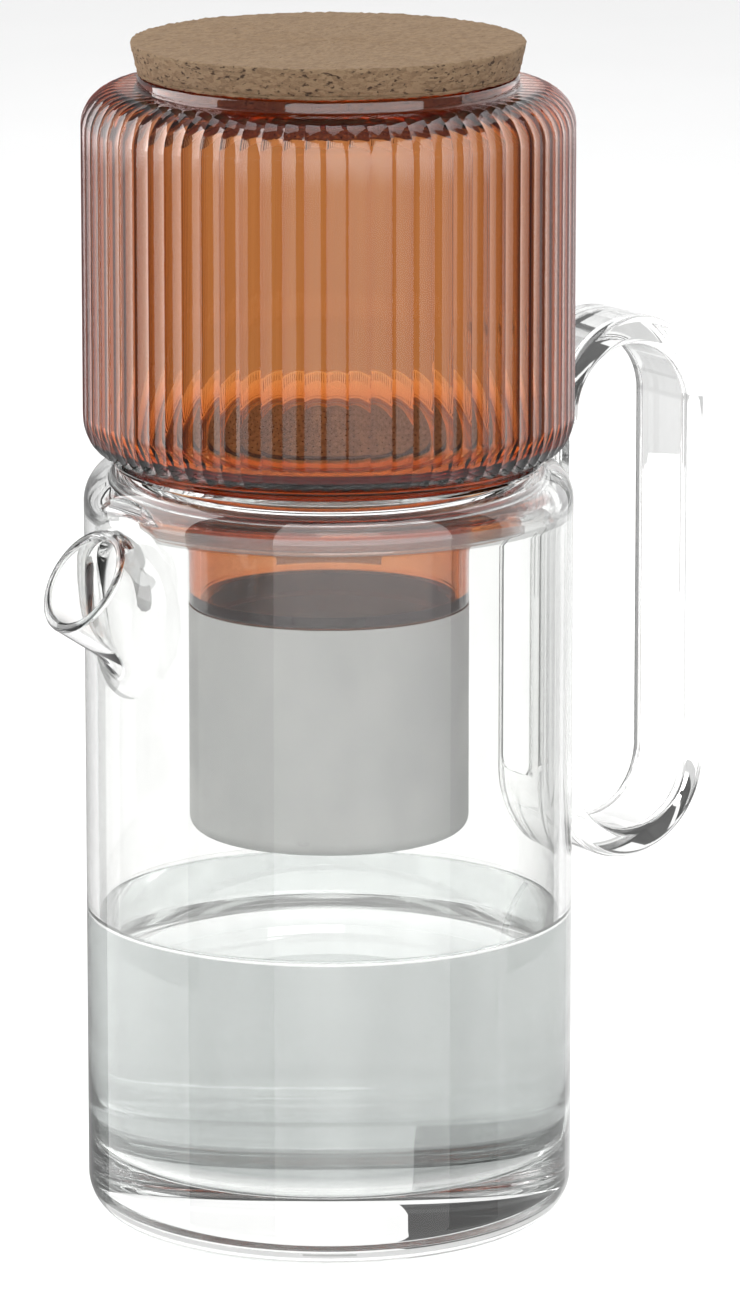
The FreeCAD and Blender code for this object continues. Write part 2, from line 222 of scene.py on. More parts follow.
class CoffeeMakerSettings(bpy.types.PropertyGroup):
    carafe: PointerProperty(type=CarafeSizes)
    chamber: PointerProperty(type=ChamberSizes)
    lid: PointerProperty(type=LidSizes)
    water: PointerProperty(type=WaterSizes)
    finishes: PointerProperty(type=Finishes)
    stage: PointerProperty(type=StageSettings)


# Lamps: name, turn from the camera's side and height in degrees, distance, size and watts.
SOFTBOXES = (
    ("front softbox", 12, 38, 1.5, 1.0, 12.0),
    ("left softbox", -100, 24, 1.5, 1.0, 12.0),
    ("top softbox", 150, 72, 1.6, 1.2, 10.0),
)

# Cards that only mirrored light sees: name, first and last turn from the camera's side in
# degrees, positive to its right, and brightness at the foot, in the middle and at the top.
MIRRORED_CARDS = (
    ("front card", -25, 57, 1.3, 2.3, 5.0),
    ("left card", -128, -68, 1.5, 3.0, 6.0),
    ("grey left card", -180, -128, 0.4, 0.4, 0.5),
    ("dark left card", -68, -25, 0.4, 0.3, 0.5),
    ("dark right card", 57, 85, 0.4, 0.35, 0.5),
    ("right card", 85, 150, 0.8, 1.8, 2.4),
)

# Sheets that only light through the glass sees: name, first and last turn, the (distance,
# height) of one edge and of the other, and brightness.
SHEETS_BEHIND = (
    ("hung dark card", -168.5, -115, (0.95, 0.10), (0.95, 0.48), 0.08),
    ("low grey ring", -180, 180, (0.7, 0.022), (0.7, 0.14), 0.74),
    ("card behind the tube", 176.5, 183.5, (0.5, 0.02), (0.5, 0.06), 0.45),
    ("right flag", 88, 128, (0.25, 0.0), (0.25, 0.6), 0.25),
    ("left flag", -112, -60, (0.25, 0.0), (0.25, 0.6), 0.5),
    ("dark canopy", -180, 180, (0.8, 0.55), (0.1, 1.0), 0.1),
)


# ---------------------------------------------------------------------------
# Modelling helpers
# ---------------------------------------------------------------------------

def deselect_everything():
    if bpy.context.object and bpy.context.object.mode != "OBJECT":
        bpy.ops.object.mode_set(mode="OBJECT")
    bpy.ops.object.select_all(action="DESELECT")


def pick(piece):
    """Makes one piece the only selected and active object."""
    deselect_everything()
    piece.select_set(True)
    bpy.context.view_layer.objects.active = piece


def select_points(piece, wanted):
    """Selects the vertices in edit mode that the test wants, with their edges and faces."""
    bpy.ops.mesh.select_mode(type="VERT")
    bpy.ops.mesh.select_all(action="DESELECT")
    mesh = bmesh.from_edit_mesh(piece.data)
    for vertex in mesh.verts:
        vertex.select_set(wanted(vertex.co))
    mesh.select_flush(True)
    bmesh.update_edit_mesh(piece.data)


def draw_outline(name, corners, closed):
    """Draws (radius, height, rounding) corners as one chain of edges in the XZ plane."""
    deselect_everything()
    bpy.ops.mesh.primitive_plane_add(size=MM)
    piece = bpy.context.object
    piece.name = name
    piece.data.name = name
    bpy.ops.object.mode_set(mode="EDIT")
    bpy.ops.mesh.merge(type="CENTER")
    points = [Vector((radius, 0, height)) for radius, height, _ in corners]
    bpy.ops.transform.translate(value=points[0])
    following = points[1:] + points[:1] if closed else points[1:]
    for before, after in zip(points, following):
        bpy.ops.mesh.extrude_region_move(TRANSFORM_OT_translate={"value": after - before})
    bpy.ops.mesh.select_all(action="SELECT")
    bpy.ops.mesh.remove_doubles(threshold=MERGE_GAP)
    for index, (_, _, rounding) in enumerate(corners):
        if rounding > 0:
            before = points[index - 1]
            after = points[(index + 1) % len(points)]
            round_corner(piece, before, points[index], after, rounding)
    return piece


def round_corner(piece, before, corner, after, rounding):
    """Bevels one corner of a drawn outline to a true arc of 4 to 14 facets."""
    half_angle = (before - corner).angle(after - corner) / 2
    facet = 0.35 * MM
    segments = max(4, min(14, round(rounding / facet)))
    select_points(piece, lambda place: (place - corner).length < MERGE_GAP)
    bpy.ops.mesh.bevel(offset_type="OFFSET", offset=rounding / math.tan(half_angle),
                       segments=segments, profile=0.5, affect="VERTICES")


def spin_outline(piece, steps):
    """Turns a drawn outline once round Z, closes its seam and poles, and faces it outwards."""
    bpy.ops.mesh.select_all(action="SELECT")
    bpy.ops.mesh.spin(steps=steps, angle=2 * math.pi, center=(0, 0, 0), axis=(0, 0, 1))
    bpy.ops.mesh.select_all(action="SELECT")
    bpy.ops.mesh.remove_doubles(threshold=MERGE_GAP)
    bpy.ops.mesh.dissolve_degenerate(threshold=MERGE_GAP / 10)
    bpy.ops.mesh.select_all(action="SELECT")
    bpy.ops.mesh.normals_make_consistent(inside=False)
    bpy.ops.object.mode_set(mode="OBJECT")
    return piece


def turned(name, corners, steps, closed=False):
    """A closed shell of revolution about Z."""
    return spin_outline(draw_outline(name, corners, closed), steps)


def divide_long_edges(piece, spacing, wanted):
    """Divides the long edges of a drawn outline evenly, where both ends pass the test."""
    bpy.ops.mesh.select_mode(type="EDGE")
    while True:
        bpy.ops.mesh.select_all(action="DESELECT")
        mesh = bmesh.from_edit_mesh(piece.data)
        long_edges = [edge for edge in mesh.edges if edge.calc_length() > 1.6 * spacing
                      and all(wanted(vertex.co) for vertex in edge.verts)]
        if not long_edges:
            break
        long_edges[0].select_set(True)
        cuts = round(long_edges[0].calc_length() / spacing) - 1
        bmesh.update_edit_mesh(piece.data)
        bpy.ops.mesh.subdivide(number_cuts=max(cuts, 1))
    bpy.ops.mesh.select_mode(type="VERT")


def press_pits(piece, name, kind, size, depth):
    """Presses small pits into a surface, never outwards, from one of Blender's own patterns."""
    pick(piece)
    pattern = bpy.data.textures.new(name, kind)
    pattern.noise_scale = size
    pattern.contrast = 2.5
    modifier = piece.modifiers.new(name, "DISPLACE")
    modifier.texture = pattern
    modifier.texture_coords = "LOCAL"
    modifier.strength = depth
    modifier.mid_level = 1.0
    bpy.ops.object.modifier_apply(modifier=modifier.name)


def copy_of_node(node_name, name):
    """A merged copy of a CAD node, with its place in its mesh."""
    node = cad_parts[node_name]
    mesh = node.data.copy()
    mesh.name = name
    mesh.transform(node.matrix_world)
    piece = bpy.data.objects.new(name, mesh)
    bpy.context.scene.collection.objects.link(piece)
    mesh.materials.clear()
    pick(piece)
    bpy.ops.object.mode_set(mode="EDIT")
    bpy.ops.mesh.select_all(action="SELECT")
    bpy.ops.mesh.remove_doubles(threshold=2 * MERGE_GAP)
    bpy.ops.object.mode_set(mode="OBJECT")
    return piece


def sink_weld(piece, wall_radius, depth):
    """Runs the faces that lie on the carafe's wall on into the glass, for a clean fusion."""
    pick(piece)
    bpy.ops.object.mode_set(mode="EDIT")
    select_points(piece, lambda place: abs(math.hypot(place.x, place.y) - wall_radius) < HAIR)
    bpy.ops.mesh.extrude_region_move(TRANSFORM_OT_translate={"value": (0, 0, 0)})
    shrink = (wall_radius - depth) / wall_radius
    bpy.ops.transform.resize(value=(shrink, shrink, 1), center_override=(0, 0, 0))
    bpy.ops.object.mode_set(mode="OBJECT")


def combine(piece, other, operation):
    """Fuses or cuts a piece with another solid, which is used up."""
    pick(piece)
    modifier = piece.modifiers.new(operation.title(), "BOOLEAN")
    modifier.operation = operation
    modifier.solver = "EXACT"
    modifier.object = other
    bpy.ops.object.modifier_apply(modifier=modifier.name)
    bpy.data.objects.remove(other)


def polish(piece, sharp_angle):
    """Smooth shading that keeps flats flat and true edges crisp."""
    pick(piece)
    bpy.ops.object.shade_smooth_by_angle(angle=math.radians(sharp_angle))
    modifier = piece.modifiers.new("Flat faces lead", "WEIGHTED_NORMAL")
    modifier.keep_sharp = True
    modifier.weight = 60
    bpy.ops.object.modifier_apply(modifier=modifier.name)


def finish_piece(piece, material, body, nodes=()):
    """Gives a finished piece its material and its body, and hides the CAD nodes that it stands
    for.
    """
    piece.data.materials.clear()
    piece.data.materials.append(material)
    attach(piece, body)
    if nodes:
        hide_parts(*nodes)
    deselect_everything()


def dress_nodes(material, *names):
    """Gives carried-over CAD nodes a new material in their objects' slots."""
    for name in names:
        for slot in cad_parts[name].material_slots:
            slot.material = material


def smoothstep(low, high, value):
    """Eases from 0 at the low value to 1 at the high one."""
    share = min(max((value - low) / (high - low), 0.0), 1.0)
    return share * share * (3 - 2 * share)


# ---------------------------------------------------------------------------
# Node helpers
# ---------------------------------------------------------------------------

def set_inputs(tree, node, values):
    """Sets inputs to numbers or colours, or links them to other nodes' sockets."""
    for key, value in values.items():
        if isinstance(value, bpy.types.NodeSocket):
            tree.links.new(value, node.inputs[key])
        else:
            node.inputs[key].default_value = value


def add_node(tree, kind, inputs=None, **settings):
    node = tree.nodes.new(kind)
    for key, value in settings.items():
        setattr(node, key, value)
    set_inputs(tree, node, inputs or {})
    return node


def compute(tree, operation, first, second=0.0):
    node = add_node(tree, "ShaderNodeMath", {0: first, 1: second}, operation=operation)
    return node.outputs[0]


def mix_colours(tree, factor, first, second, blend="MIX"):
    node = add_node(tree, "ShaderNodeMix", {0: factor, 6: first, 7: second},
                    data_type="RGBA", blend_type=blend)
    return node.outputs[2]


def spread(tree, value, low, high, new_low=0.0, new_high=1.0):
    """Maps a value from one range to another, smoothly and clamped."""
    node = add_node(tree, "ShaderNodeMapRange",
                    {"Value": value, "From Min": low, "From Max": high,
                     "To Min": new_low, "To Max": new_high},
                    interpolation_type="SMOOTHSTEP")
    return node.outputs["Result"]


def noise(tree, vector, scale, detail, roughness=0.5):
    """A cloudy pattern from 0 to 1."""
    node = add_node(tree, "ShaderNodeTexNoise", {"Vector": vector, "Scale": scale,
                                                 "Detail": detail, "Roughness": roughness})
    return node.outputs["Fac"]


def bumped(tree, height, strength, distance):
    """A normal that follows a pattern's height."""
    node = add_node(tree, "ShaderNodeBump", {"Height": height, "Strength": strength,
                                             "Distance": distance})
    return node.outputs["Normal"]


def stretched(tree, vector, scale, turn=0.0):
    node = add_node(tree, "ShaderNodeMapping", {"Vector": vector, "Scale": scale,
                                                "Rotation": (0, 0, math.radians(turn))})
    return node.outputs["Vector"]


def object_place(tree):
    return add_node(tree, "ShaderNodeTexCoord").outputs["Object"]


def along_axes(tree):
    """The X, Y and Z of a point on the object."""
    return add_node(tree, "ShaderNodeSeparateXYZ", {0: object_place(tree)}).outputs


def reach_from_axis(tree):
    """Distance from the Z axis."""
    place = along_axes(tree)
    squares = compute(tree, "ADD", compute(tree, "POWER", place["X"], 2.0),
                      compute(tree, "POWER", place["Y"], 2.0))
    return compute(tree, "SQRT", squares)


def rgba(values):
    return (*values, 1.0)


def place_effect(tree, name, fill, sockets, results, inputs):
    """Places a shared node group, which is filled when it is first used."""
    group = bpy.data.node_groups.get(name)
    if group is None:
        group = bpy.data.node_groups.new(name, "ShaderNodeTree")
        for socket_name, kind in sockets:
            group.interface.new_socket(socket_name, in_out="INPUT",
                                       socket_type="NodeSocket" + kind)
        for socket_name, kind in results:
            group.interface.new_socket(socket_name, in_out="OUTPUT",
                                       socket_type="NodeSocket" + kind)
        given = group.nodes.new("NodeGroupInput").outputs
        set_inputs(group, group.nodes.new("NodeGroupOutput"), fill(group, given))
    return add_node(tree, "ShaderNodeGroup", inputs, node_tree=group).outputs


def new_material(name):
    """An empty material with its Principled shader and its output."""
    material = bpy.data.materials.new(name)
    material.use_nodes = True
    tree = material.node_tree
    return material, tree, tree.nodes["Principled BSDF"], tree.nodes["Material Output"]


# ---------------------------------------------------------------------------
# Shared effects
# ---------------------------------------------------------------------------

SURFACE = (("Color", "Color"), ("Roughness", "Float"), ("Height", "Float"))


def fill_drawn_glass(group, given):
    place = stretched(group, object_place(group), (1.0, 1.0, 0.22))
    streaks = spread(group, noise(group, place, 150.0, 2.0), 0.35, 0.7)
    film = spread(group, noise(group, place, 320.0, 3.0), 0.5, 0.8)
    waves = noise(group, place, given["Wave Scale"], 1.0)
    return {"Color": mix_colours(group, streaks, given["Tint"], given["Streak"]),
            "Roughness": compute(group, "MULTIPLY", film, given["Roughness"]),
            "Normal": bumped(group, waves, 1.0, given["Wave Height"])}


def drawn_glass(tree, tint, streak, roughness, wave_height, wave_scale):
    """Upright streaks and soft waves of blown glass."""
    return place_effect(
        tree, "Drawn Glass", fill_drawn_glass,
        (("Tint", "Color"), ("Streak", "Color"), ("Roughness", "Float"),
         ("Wave Height", "Float"), ("Wave Scale", "Float")),
        (("Color", "Color"), ("Roughness", "Float"), ("Normal", "Vector")),
        {"Tint": rgba(tint), "Streak": rgba(streak), "Roughness": roughness,
         "Wave Height": wave_height, "Wave Scale": wave_scale})


def fill_cork_grain(group, given):
    scale = given["Scale"]
    warp = add_node(group, "ShaderNodeTexNoise",
                    {"Vector": given["Vector"], "Detail": 3.0,
                     "Scale": compute(group, "MULTIPLY", scale, 0.8)})
    bend = add_node(group, "ShaderNodeVectorMath",
                    {0: warp.outputs["Color"], 1: (0.0012, 0.0012, 0.0012)},
                    operation="MULTIPLY")
    place = add_node(group, "ShaderNodeVectorMath",
                     {0: given["Vector"], 1: bend.outputs["Vector"]},
                     operation="ADD").outputs["Vector"]
    granules = add_node(group, "ShaderNodeTexVoronoi", {"Vector": place, "Scale": scale})
    tone = add_node(group, "ShaderNodeSeparateColor", {"Color": granules.outputs["Color"]})
    fine = noise(group, place, compute(group, "MULTIPLY", scale, 3.1), 5.0)
    blend = compute(group, "ADD", compute(group, "MULTIPLY", tone.outputs["Red"], 0.45),
                    compute(group, "MULTIPLY", fine, 0.75))
    body = mix_colours(group, spread(group, blend, 0.30, 0.95), given["Light"], given["Dark"])
    bark = noise(group, place, compute(group, "MULTIPLY", scale, 0.9), 2.5)
    threshold = compute(group, "SUBTRACT", 0.78,
                        compute(group, "MULTIPLY", given["Flecks"], 0.22))
    fleck = spread(group, compute(group, "SUBTRACT", bark, threshold), 0.0, 0.07)
    return {"Color": mix_colours(group, fleck, body, given["Fleck"]),
            "Height": compute(group, "SUBTRACT", compute(group, "MULTIPLY", fine, 0.5),
                              fleck)}


def cork_grain(tree, finishes, vector, scale, flecks):
    """Pressed cork: granules of two tones, pores and bark flecks."""
    return place_effect(
        tree, "Cork Grain", fill_cork_grain,
        (("Vector", "Vector"), ("Scale", "Float"), ("Light", "Color"), ("Dark", "Color"),
         ("Fleck", "Color"), ("Flecks", "Float")),
        (("Color", "Color"), ("Height", "Float")),
        {"Vector": vector, "Scale": scale, "Light": rgba(finishes.cork_light),
         "Dark": rgba(finishes.cork_dark), "Fleck": rgba(finishes.cork_fleck),
         "Flecks": flecks})


def fill_woven_mesh(group, given):
    waves = []
    for direction in ("Across", "Along"):
        wires = compute(group, "DIVIDE", given[direction], given["Pitch"])
        waves.append(compute(group, "SINE", compute(group, "MULTIPLY", wires, math.pi)))
    warp, weft = [compute(group, "ABSOLUTE", wave) for wave in waves]
    height = compute(group, "ADD", compute(group, "MAXIMUM", warp, weft),
                     compute(group, "MULTIPLY", compute(group, "MULTIPLY", *waves), 0.4))
    soft = spread(group, noise(group, object_place(group), 60.0, 4.0), 0.3, 0.7)
    # Painted shade: the wire's colour is darkened in the gaps between wires.
    gap_shade = mix_colours(group, 1.0, given["Wire"], (0.72, 0.72, 0.72, 1.0), "MULTIPLY")
    dulled = mix_colours(group, 1.0, given["Wire"], (0.93, 0.94, 0.945, 1.0), "MULTIPLY")
    wire = mix_colours(group, soft, given["Wire"], dulled)
    return {"Color": mix_colours(group, spread(group, height, 0.25, 0.75), gap_shade, wire),
            "Roughness": compute(group, "ADD", 0.50, compute(group, "MULTIPLY", soft, 0.12)),
            "Height": height}


def woven_mesh(tree, finishes, across, along):
    """Fine plain weave of steel wire with painted shade in its gaps, from two coordinates in
    metres.
    """
    return place_effect(
        tree, "Woven Mesh", fill_woven_mesh,
        (("Across", "Float"), ("Along", "Float"), ("Pitch", "Float"), ("Wire", "Color")),
        SURFACE,
        {"Across": across, "Along": along, "Pitch": finishes.weave_pitch,
         "Wire": rgba(finishes.mesh_steel)})


def fill_handling_marks(group, given):
    marks = noise(group, object_place(group), given["Scale"], 5.0, 0.6)
    share = spread(group, marks, 0.3, 0.7)
    span = compute(group, "SUBTRACT", given["Rough"], given["Smooth"])
    return {"Color": mix_colours(group, share, given["Color"], given["Worn"]),
            "Roughness": compute(group, "ADD", given["Smooth"],
                                 compute(group, "MULTIPLY", share, span)),
            "Height": marks}


def handling_marks(tree, tone, wear, smooth, rough, scale):
    """Faint marks of use that change the roughness and the tone a little."""
    return place_effect(
        tree, "Handling Marks", fill_handling_marks,
        (("Color", "Color"), ("Worn", "Color"), ("Smooth", "Float"), ("Rough", "Float"),
         ("Scale", "Float")),
        SURFACE,
        {"Color": rgba(tone), "Worn": rgba([wear * part for part in tone]),
         "Smooth": smooth, "Rough": rough, "Scale": scale})


# ---------------------------------------------------------------------------
# Materials
# ---------------------------------------------------------------------------

def light_passes(tree, shader, output, tint):
    """Lets lamp light through glass in its own tint, so that it casts a pale shadow."""
    path = add_node(tree, "ShaderNodeLightPath")
    window = add_node(tree, "ShaderNodeBsdfTransparent", {"Color": rgba(tint)})
    mix = add_node(tree, "ShaderNodeMixShader", {0: path.outputs["Is Shadow Ray"],
                                                 1: shader.outputs["BSDF"],
                                                 2: window.outputs["BSDF"]})
    tree.links.new(mix.outputs["Shader"], output.inputs["Surface"])


def clear_glass(finishes, bore):
    """Clear glass with painted shade where it is seen edge-on, but not inside the heavy base."""
    material, tree, shader, output = new_material("Clear glass")
    glass = drawn_glass(tree, finishes.clear_tint, finishes.deep_tint,
                        roughness=0.012, wave_height=0.012 * MM, wave_scale=40.0)
    facing = add_node(tree, "ShaderNodeLayerWeight", {"Blend": 0.5}).outputs["Facing"]
    outside = compute(tree, "MAXIMUM", spread(tree, along_axes(tree)["Z"], 30 * MM, 40 * MM),
                      spread(tree, reach_from_axis(tree), bore + 0.2 * MM, bore + 1.5 * MM))
    # Painted shade: blends the glass's colour towards dark grey at grazing view angles.
    edge = compute(tree, "MULTIPLY", spread(tree, facing, 0.4, 1.0), outside)
    tint = mix_colours(tree, edge, glass["Color"], rgba(finishes.painted_edge_shade))
    set_inputs(tree, shader, {
        "Base Color": tint, "Roughness": glass["Roughness"], "Normal": glass["Normal"],
        "IOR": finishes.glass_index, "Transmission Weight": 1.0})
    light_passes(tree, shader, output, (0.93, 0.94, 0.94))
    return material


def amber_glass(finishes):
    """Amber glass, deeper in colour where it is thicker."""
    material, tree, shader, output = new_material("Amber glass")
    glass = drawn_glass(tree, finishes.amber_tint, finishes.amber_streak,
                        roughness=0.015, wave_height=0.010 * MM, wave_scale=60.0)
    set_inputs(tree, shader, {
        "Base Color": glass["Color"], "Roughness": glass["Roughness"],
        "Normal": glass["Normal"], "IOR": finishes.glass_index, "Transmission Weight": 1.0})
    depth = add_node(tree, "ShaderNodeVolumeAbsorption", {
        "Color": rgba(finishes.amber_depth), "Density": finishes.amber_density})
    tree.links.new(depth.outputs["Volume"], output.inputs["Volume"])
    light_passes(tree, shader, output, (0.94, 0.74, 0.60))
    return material


def water_surface(finishes, level, floor):
    """Water whose side is tinted once with painted shade in broad upright bands, standing in for
    the shadowed floor behind, with a clear top and bottom.
    """
    material, tree, shader, output = new_material("Water")
    ripples = drawn_glass(tree, finishes.water, finishes.water,
                          roughness=0.02, wave_height=0.02 * MM, wave_scale=30.0)
    height = along_axes(tree)["Z"]
    upright = stretched(tree, object_place(tree), (1.0, 1.0, 0.02))
    # Painted shade: broad upright streaks of shadow on the water's side.
    shade_bands = spread(tree, noise(tree, upright, 34.0, 0.0), 0.42, 0.58)
    side = mix_colours(tree, shade_bands, ripples["Color"], rgba(finishes.water_shade_band))
    top = spread(tree, height, level - 0.5 * MM, level - 0.1 * MM)
    bottom = spread(tree, height, floor + 1.0 * MM, floor + 6.0 * MM, 1.0, 0.0)
    leaving = add_node(tree, "ShaderNodeNewGeometry").outputs["Backfacing"]
    surfaces_passed = add_node(tree, "ShaderNodeLightPath").outputs["Transmission Depth"]
    again = compute(tree, "GREATER_THAN", surfaces_passed, 1.5)
    clear = compute(tree, "MAXIMUM", compute(tree, "MAXIMUM", leaving, again),
                    compute(tree, "MAXIMUM", top, bottom))
    tone = mix_colours(tree, clear, side, (0.98, 0.985, 0.985, 1.0))
    set_inputs(tree, shader, {
        "Base Color": tone, "Roughness": ripples["Roughness"], "Normal": ripples["Normal"],
        "IOR": finishes.water_index, "Transmission Weight": 1.0})
    light_passes(tree, shader, output, (0.96, 0.97, 0.97))
    return material


def pressed_cork(finishes, sizes):
    """Coarser granules on the side than on the top, which was cut along the grain."""
    material, tree, shader, _ = new_material("Pressed cork")
    place = object_place(tree)
    side = cork_grain(tree, finishes, stretched(tree, place, (0.75, 0.75, 1.7)),
                      scale=1.5 / sizes.grain, flecks=0.85)
    top = cork_grain(tree, finishes, stretched(tree, place, (0.55, 1.9, 1.0), turn=28),
                     scale=2.0 / sizes.grain, flecks=0.45)
    facing = add_node(tree, "ShaderNodeSeparateXYZ",
                      {0: add_node(tree, "ShaderNodeNewGeometry").outputs["Normal"]})
    upward = spread(tree, facing.outputs["Z"], 0.5, 0.9)
    height = add_node(tree, "ShaderNodeMix", {0: upward, 2: side["Height"], 3: top["Height"]},
                      data_type="FLOAT").outputs[0]
    set_inputs(tree, shader, {
        "Base Color": mix_colours(tree, upward, side["Color"], top["Color"]),
        "Normal": bumped(tree, height, 0.7, 0.22 * MM),
        "Roughness": spread(tree, height, -0.5, 0.5, 0.95, 0.8),
        "Specular IOR Level": 0.25})
    return material


def filter_steel(finishes, name, round_the_cup):
    """Fine steel weave, round the cup's wall with painted shade inside it, or flat across its
    dish.
    """
    material, tree, shader, _ = new_material(name)
    place = along_axes(tree)
    if round_the_cup:
        turn = compute(tree, "ARCTAN2", place["Y"], place["X"])
        around = compute(tree, "MULTIPLY", turn, SLEEVE_RADIUS)
        weave = woven_mesh(tree, finishes, around, place["Z"])
        outside = spread(tree, reach_from_axis(tree), SLEEVE_RADIUS - 0.35 * MM,
                         SLEEVE_RADIUS - 0.15 * MM)
        # Painted shade on the cup's inner face.
        tone = mix_colours(tree, outside, rgba(finishes.painted_filter_shade), weave["Color"])
    else:
        weave = woven_mesh(tree, finishes, place["X"], place["Y"])
        tone = weave["Color"]
    set_inputs(tree, shader, {
        "Base Color": tone, "Roughness": weave["Roughness"], "Metallic": 0.35,
        "Normal": bumped(tree, weave["Height"], 0.05, 0.03 * MM)})
    return material


def satin_steel(finishes):
    """Satin steel with fine turning marks round the axis, in a near-black painted shade."""
    material, tree, shader, _ = new_material("Satin steel")
    marks = handling_marks(tree, finishes.plate_steel, wear=0.8, smooth=0.28, rough=0.42,
                           scale=260.0)
    reach = add_node(tree, "ShaderNodeCombineXYZ", {"X": reach_from_axis(tree)})
    rings = noise(tree, reach.outputs["Vector"], 4000.0, 2.0)
    set_inputs(tree, shader, {
        "Base Color": marks["Color"], "Roughness": marks["Roughness"], "Metallic": 1.0,
        "Normal": bumped(tree, rings, 0.3, 0.03 * MM)})
    return material


def soft_silicone(finishes):
    material, tree, shader, output = new_material("Soft silicone")
    marks = handling_marks(tree, finishes.silicone, wear=0.9, smooth=0.12, rough=0.22,
                           scale=120.0)
    set_inputs(tree, shader, {
        "Base Color": marks["Color"], "Roughness": marks["Roughness"],
        "Normal": bumped(tree, marks["Height"], 0.2, 0.02 * MM),
        "IOR": finishes.silicone_index, "Transmission Weight": 0.92})
    light_passes(tree, shader, output, (0.75, 0.77, 0.77))
    return material


# ---------------------------------------------------------------------------
# Pieces
# ---------------------------------------------------------------------------

def arc_corners(centre_radius, centre_height, radius, start, end, count):
    """Corners along an arc of an outline, between two angles in degrees."""
    corners = []
    for index in range(count + 1):
        angle = math.radians(start + (end - start) * index / count)
        corners.append((centre_radius + radius * math.cos(angle),
                        centre_height + radius * math.sin(angle), 0))
    return corners


class COFFEE_OT_carafe(bpy.types.Operator):
    """Models the clear glass carafe with its spout and loop handle fused on"""
    bl_idname = "coffee.carafe"
    bl_label = "Carafe"

    def execute(self, context):
        settings = context.scene.coffee_maker
        sizes = settings.carafe
        shoulder_radius = sizes.radius - sizes.shoulder_round
        shoulder_height = sizes.crown - sizes.shoulder_round
        step_angle = math.degrees(math.acos((sizes.step_radius - shoulder_radius)
                                            / sizes.shoulder_round))
        shoulder = arc_corners(shoulder_radius, shoulder_height, sizes.shoulder_round,
                               0, step_angle, 16)
        rim_radius, rim_height, _ = shoulder.pop()
        lip_bottom = sizes.step_height - sizes.lip_thickness
        inner_round = sizes.shoulder_round - sizes.wall
        bore = sizes.radius - sizes.wall
        rings = self.wall_rings(sizes, shoulder_height - HAIR)
        inner_rings = self.wall_rings(sizes, lip_bottom - inner_round)
        body = turned("carafe_glass", [
            (0, 0, 0),
            (sizes.radius, 0, sizes.base_round),
            *[(sizes.radius, height, 0) for height in rings],
            *shoulder,
            (rim_radius, rim_height, sizes.lip_round / 2),
            (sizes.step_radius, sizes.step_height, sizes.lip_round / 4),
            (sizes.mouth_radius, sizes.step_height, sizes.lip_round),
            (sizes.mouth_radius, lip_bottom, sizes.lip_round),
            (bore, lip_bottom, inner_round),
            *reversed([(bore, height, 0) for height in inner_rings]),
            (bore, sizes.floor_thickness, sizes.floor_round),
            (0, sizes.floor_thickness, 0),
        ], sizes.steps)
        handle = copy_of_node("carafe_handle", "handle_glass")
        sink_weld(handle, sizes.radius, sizes.weld_depth)
        combine(body, handle, "UNION")
        combine(body, self.spout_stub(sizes), "UNION")
        combine(body, self.spout_bore(sizes), "DIFFERENCE")
        polish(body, 32)
        finish_piece(body, clear_glass(settings.finishes, bore), "carafe",
                     ("carafe_body", "carafe_spout", "carafe_handle"))
        return {"FINISHED"}

    def along_spout(self, sizes):
        """Turns a shape on +Z into the spout's axis, with its origin in the rim's middle."""
        outward = Vector((-math.cos(sizes.spout_slope), 0, math.sin(sizes.spout_slope)))
        sideways = Vector((0, 1, 0))
        upward = sideways.cross(outward)
        turn = Matrix((upward, sideways, outward)).transposed().to_4x4()
        return Matrix.Translation((-sizes.spout_reach, 0, sizes.spout_height)) @ turn

    def wall_rings(self, sizes, top):
        """Heights of the wall's rings of facets, which keep the welds' faces short."""
        low = sizes.floor_thickness + sizes.floor_round + sizes.ring_spacing
        count = int((top - low) / sizes.ring_spacing)
        return [low + (top - low) * index / (count + 1) for index in range(count + 1)]

    def spout_skin(self, name, sizes, tube, wall, crown):
        """A solid along the spout whose root blends into the carafe's wall in a funnel."""
        mark = sizes.spout_lip
        marks = [-mark * (3 + ring) for ring in range(sizes.spout_rings + 1)]
        sunk = marks[-1] - mark
        skin = turned(name, [
            (0, sunk, 0),
            (tube, sunk, 0),
            *[(tube, height, 0) for height in reversed(marks)],
            *crown,
        ], sizes.spout_steps)
        axis = self.along_spout(sizes)
        outward = axis.to_3x3() @ Vector((0, 0, 1))
        for vertex in skin.data.vertices:
            height = vertex.co.z
            across = axis.to_3x3() @ Vector((vertex.co.x, vertex.co.y, 0))
            if height > marks[0] + mark / 2:
                vertex.co = axis @ vertex.co
                continue
            start = axis.translation + across
            wall_x = -math.sqrt(wall ** 2 - start.y ** 2)
            run = (wall_x - start.x) / -outward.x
            root = min(sizes.spout_root, run - 1.5 * mark)
            foot = start - outward * run
            normal = Vector((foot.x, foot.y, 0)).normalized()
            away = across - normal * across.dot(normal)
            if away.length > HAIR:
                away.normalize()
            end = foot + away * sizes.spout_root
            depth = sizes.weld_depth if height < marks[-1] - mark / 2 else sizes.weld_depth / 8
            shrink = (wall - depth) / math.hypot(end.x, end.y)
            end = Vector((end.x * shrink, end.y * shrink, end.z))
            share = min((marks[0] - height) / (marks[0] - marks[-1]), 1.0)
            vertex.co = ((foot + outward * root) * (1 - share) ** 2
                         + foot * 2 * share * (1 - share) + end * share ** 2)
        return skin

    def spout_stub(self, sizes):
        """The spout's outside, before its bore is cut."""
        return self.spout_skin("spout_stub", sizes, sizes.spout_radius, sizes.radius, [
            (sizes.spout_radius, 0, sizes.spout_lip),
            (0, 0, 0),
        ])

